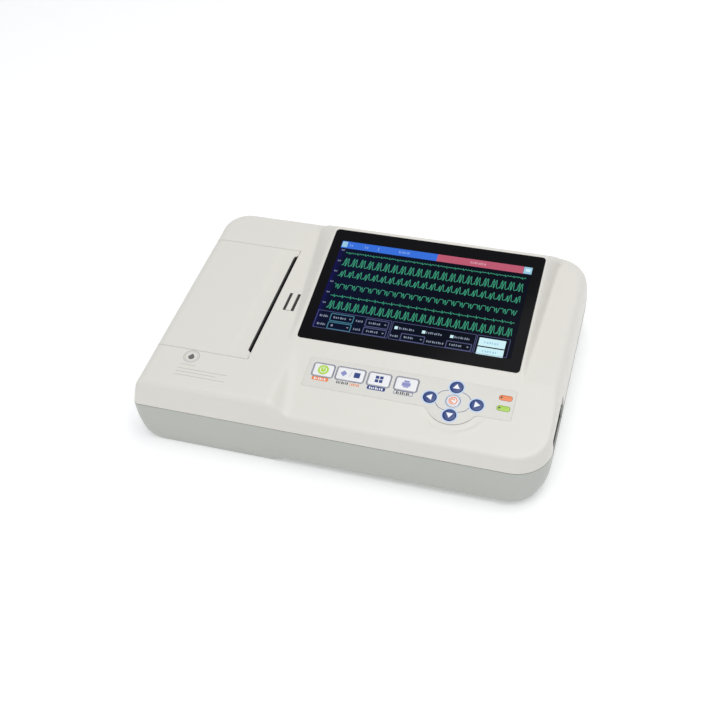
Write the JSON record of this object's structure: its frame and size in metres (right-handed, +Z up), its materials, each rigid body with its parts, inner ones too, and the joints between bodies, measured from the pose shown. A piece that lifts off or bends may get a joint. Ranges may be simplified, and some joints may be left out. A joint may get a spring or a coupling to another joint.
{
  "type": "electrocardiograph",
  "caption": "Tabletop electrocardiograph with a tilted touch display, a keypad in front of it and a thermal strip printer under a hinged door.",
  "frame": {"origin": "on the table, under the middle of the case's plan", "axes": "+X to the operator's right along the case's width, +Y from the operator to the back, +Z up"},
  "size_m": [0.315, 0.213, 0.08],
  "materials": {
    "ivory_plastic": "fine spark texture, slight gloss",
    "grey_plastic": "fine spark texture, matt",
    "panel_film": "printed polyester film, satin",
    "key_white": "smooth moulded",
    "key_blue": "smooth moulded",
    "lamp_amber": "translucent light pipe",
    "lamp_green": "translucent light pipe",
    "display_glass": "polished cover glass with a black border",
    "display_panel": "black panel frame",
    "steel": "zinc plated",
    "connector_shell": "tinned",
    "aluminium": "bead blasted",
    "brass": "turned",
    "nylon": "moulded acetal",
    "black_plastic": "moulded, matt",
    "rubber": "matt",
    "circuit_board": "solder mask",
    "battery_sleeve": "shrink sleeve",
    "chart_paper": "thermal chart paper"
  },
  "bodies": {
    "case": {"upper_housing": "ivory_plastic", "paper_tray": "ivory_plastic", "lower_housing": "grey_plastic", "battery_cover": "grey_plastic", "keypad_overlay": "panel_film", "lamp_mains": "lamp_amber", "lamp_battery": "lamp_green", "display_glass": "display_glass", "lcd_module": "display_panel", "lcd_bracket": "steel", "printer_frame": "steel", "feed_motor": "steel", "head_pivot_rod": "steel", "head_spring_1": "steel", "head_spring_2": "steel", "tear_bar": "steel", "door_hinge_pin": "steel", "battery_cover_screw": "steel", "housing_screw_1": "steel", "housing_screw_2": "steel", "housing_screw_3": "steel", "housing_screw_4": "steel", "housing_screw_5": "steel", "housing_screw_6": "steel", "lead_connector": "connector_shell", "network_socket": "connector_shell", "usb_socket": "connector_shell", "earth_post": "brass", "mains_inlet": "black_plastic", "connector_bezel": "black_plastic", "speaker": "black_plastic", "roll_spindle": "black_plastic", "foot_front_left": "rubber", "foot_back_left": "rubber", "foot_front_right": "rubber", "foot_back_right": "rubber", "keypad_board": "circuit_board", "main_board": "circuit_board", "power_board": "circuit_board", "battery_pack": "battery_sleeve"},
    "door": {"paper_door": "ivory_plastic"},
    "platen": {"platen_roller": "rubber", "platen_shaft": "steel", "platen_gear": "nylon"},
    "idler": {"idler_gear": "nylon"},
    "pinion": {"motor_pinion": "brass"},
    "roll": {"paper_roll": "chart_paper", "roll_core": "nylon"},
    "head": {"print_head": "aluminium"},
    "button": {"release_button": "ivory_plastic"},
    "latch": {"latch_bar": "steel"},
    "key_power": {"key_power": "key_white"},
    "key_start_stop": {"key_start_stop": "key_white"},
    "key_mode": {"key_mode": "key_white"},
    "key_print": {"key_print": "key_white"},
    "key_up": {"key_up": "key_blue"},
    "key_down": {"key_down": "key_blue"},
    "key_left": {"key_left": "key_blue"},
    "key_right": {"key_right": "key_blue"},
    "key_centre": {"key_centre": "key_white"}
  },
  "joints": [
    {"name": "door_hinge", "type": "hinge", "parent": "case", "child": "door", "pos_m": [-0.1533, 0, 0.0445], "axis": [0, -1, 0], "range_deg": [0, 95]},
    {"name": "platen_spin", "type": "hinge", "parent": "door", "child": "platen", "pos_m": [-0.0855, 0, 0.0505], "axis": [0, 1, 0], "continuous": true},
    {"name": "idler_spin", "type": "hinge", "parent": "case", "child": "idler", "pos_m": [-0.0855, 0, 0.03358], "axis": [0, 1, 0], "continuous": true},
    {"name": "motor_spin", "type": "hinge", "parent": "case", "child": "pinion", "pos_m": [-0.0855, 0, 0.01906], "axis": [0, 1, 0], "continuous": true},
    {"name": "roll_spin", "type": "hinge", "parent": "case", "child": "roll", "pos_m": [-0.122, 0, 0.0313], "axis": [0, 1, 0], "continuous": true},
    {"name": "head_pivot", "type": "hinge", "parent": "case", "child": "head", "pos_m": [-0.0665, 0, 0.0375], "axis": [0, -1, 0], "range_deg": [0, 1], "stiffness_Nm_per_rad": 1.1, "springref_deg": -2.86},
    {"name": "release_press", "type": "slide", "parent": "case", "child": "button", "axis": [0, 0, -1], "range_m": [0, 0.002], "stiffness_N_per_m": 600},
    {"name": "latch_turn", "type": "hinge", "parent": "case", "child": "latch", "pos_m": [-0.0705, 0, 0.046], "axis": [0, 1, 0], "range_deg": [0, 15]},
    {"name": "power_press", "type": "slide", "parent": "case", "child": "key_power", "axis": [0, 0.153, -0.9882], "range_m": [0, 0.0006], "stiffness_N_per_m": 800},
    {"name": "start_stop_press", "type": "slide", "parent": "case", "child": "key_start_stop", "axis": [0, 0.153, -0.9882], "range_m": [0, 0.0006], "stiffness_N_per_m": 800},
    {"name": "mode_press", "type": "slide", "parent": "case", "child": "key_mode", "axis": [0, 0.153, -0.9882], "range_m": [0, 0.0006], "stiffness_N_per_m": 800},
    {"name": "print_press", "type": "slide", "parent": "case", "child": "key_print", "axis": [0, 0.153, -0.9882], "range_m": [0, 0.0006], "stiffness_N_per_m": 800},
    {"name": "up_press", "type": "slide", "parent": "case", "child": "key_up", "axis": [0, 0.153, -0.9882], "range_m": [0, 0.0006], "stiffness_N_per_m": 800},
    {"name": "down_press", "type": "slide", "parent": "case", "child": "key_down", "axis": [0, 0.153, -0.9882], "range_m": [0, 0.0006], "stiffness_N_per_m": 800},
    {"name": "left_press", "type": "slide", "parent": "case", "child": "key_left", "axis": [0, 0.153, -0.9882], "range_m": [0, 0.0006], "stiffness_N_per_m": 800},
    {"name": "right_press", "type": "slide", "parent": "case", "child": "key_right", "axis": [0, 0.153, -0.9882], "range_m": [0, 0.0006], "stiffness_N_per_m": 800},
    {"name": "centre_press", "type": "slide", "parent": "case", "child": "key_centre", "axis": [0, 0.153, -0.9882], "range_m": [0, 0.0006], "stiffness_N_per_m": 800}
  ],
  "couplings": [
    {"joint": "idler_spin", "follows": "platen_spin", "ratio": -0.75},
    {"joint": "motor_spin", "follows": "platen_spin", "ratio": 1.5},
    {"joint": "roll_spin", "follows": "platen_spin", "ratio": 0.29546},
    {"joint": "latch_turn", "follows": "release_press", "rad_per_m": 130}
  ]
}
